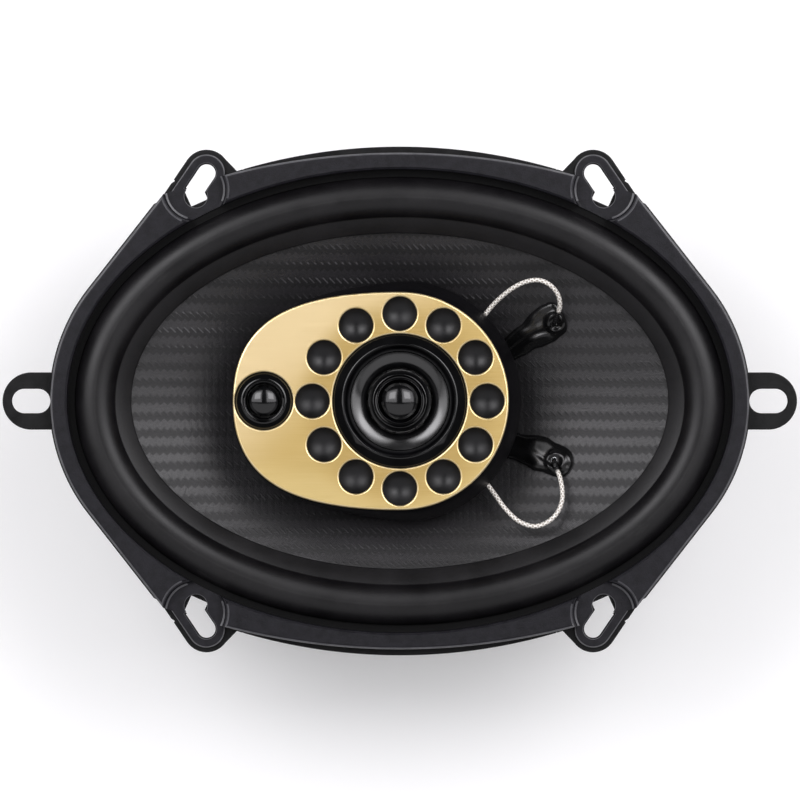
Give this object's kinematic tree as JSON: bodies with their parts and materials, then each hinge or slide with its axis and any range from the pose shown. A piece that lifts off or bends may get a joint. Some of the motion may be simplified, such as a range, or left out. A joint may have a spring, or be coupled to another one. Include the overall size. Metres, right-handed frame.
{
  "type": "coaxial car loudspeaker",
  "caption": "Oval coaxial car loudspeaker with a slotted flange, woven cone, rubber surround and a gold-faced tweeter pod on a post.",
  "frame": {"origin": "centre of the magnet's rear face, on the axis of the cone", "axes": "+Z out of the cone towards the listener, +X along the long side of the frame away from the side tweeter, +Y across it"},
  "size_m": [0.2286, 0.1464, 0.0724],
  "materials": {
    "black_steel": "black powder-coated pressed steel with a fine grain",
    "trim_plastic": "satin charcoal moulded plastic",
    "zinc_steel": "zinc-plated steel",
    "ferrite": "dull dark ferrite",
    "surround_rubber": "matte black butyl rubber",
    "spider_cloth": "resin-stiffened cotton cloth",
    "woven_cone": "dark woven composite with horizontal bands",
    "former_foil": "coated aluminium foil",
    "copper_wire": "lacquered copper wire",
    "gloss_plastic": "gloss black moulded plastic",
    "gold_plate": "satin gold anodised sheet with polished edges",
    "fibre_board": "phenolic board",
    "tinsel": "braided silver tinsel wire",
    "gloss_compound": "gloss black damping compound",
    "capacitor_sleeve": "blue shrink sleeve"
  },
  "bodies": {
    "frame": {"basket": "black_steel", "trim_ring": "trim_plastic", "t_yoke": "zinc_steel", "magnet": "ferrite", "top_plate": "zinc_steel", "basket_rivet_1": "zinc_steel", "basket_rivet_2": "zinc_steel", "basket_rivet_3": "zinc_steel", "basket_rivet_4": "zinc_steel", "surround": "surround_rubber", "spider": "spider_cloth", "front_lead_upper": "tinsel", "front_lead_lower": "tinsel", "rear_lead_upper": "tinsel", "rear_lead_lower": "tinsel", "terminal_board": "fibre_board", "terminal_positive": "zinc_steel", "terminal_negative": "zinc_steel", "terminal_rivet_positive": "zinc_steel", "terminal_rivet_negative": "zinc_steel", "pod_post": "zinc_steel", "post_nut": "zinc_steel", "post_washer": "zinc_steel", "pod_back_cover": "trim_plastic", "pod_housing": "gloss_plastic", "face_plate": "gold_plate", "mid_yoke": "zinc_steel", "mid_magnet": "ferrite", "mid_pole_plate": "zinc_steel", "mid_bezel": "gloss_plastic", "mid_surround": "surround_rubber", "centre_tweeter_body": "gloss_plastic", "centre_tweeter_magnet": "ferrite", "side_tweeter_bezel": "gloss_plastic", "side_tweeter_yoke": "zinc_steel", "side_tweeter_magnet": "ferrite", "capacitor_upper": "capacitor_sleeve", "capacitor_lower": "capacitor_sleeve"},
    "woofer_cone": {"cone": "woven_cone", "voice_coil_former": "former_foil", "voice_coil_winding": "copper_wire", "eyelet_upper": "zinc_steel", "eyelet_lower": "zinc_steel", "lead_cover_upper": "gloss_compound", "lead_cover_lower": "gloss_compound"},
    "mid_diaphragm": {"mid_cone": "gloss_plastic", "mid_winding": "copper_wire"},
    "centre_diaphragm": {"centre_dome": "gloss_plastic"},
    "side_diaphragm": {"side_dome": "gloss_plastic"}
  },
  "joints": [
    {"name": "woofer_travel", "type": "slide", "parent": "frame", "child": "woofer_cone", "axis": [0, 0, 1], "range_m": [-0.004, 0.004], "stiffness_N_per_m": 2500, "deforming": ["surround", "spider", "front_lead_upper", "front_lead_lower", "rear_lead_upper", "rear_lead_lower"]},
    {"name": "mid_travel", "type": "slide", "parent": "frame", "child": "mid_diaphragm", "axis": [0, 0, 1], "range_m": [-0.0006, 0.0006], "stiffness_N_per_m": 500, "deforming": ["mid_surround"]},
    {"name": "centre_travel", "type": "slide", "parent": "frame", "child": "centre_diaphragm", "axis": [0, 0, 1], "range_m": [-0.00025, 0.00025], "stiffness_N_per_m": 500},
    {"name": "side_travel", "type": "slide", "parent": "frame", "child": "side_diaphragm", "axis": [0, 0, 1], "range_m": [-0.00025, 0.00025], "stiffness_N_per_m": 500}
  ]
}
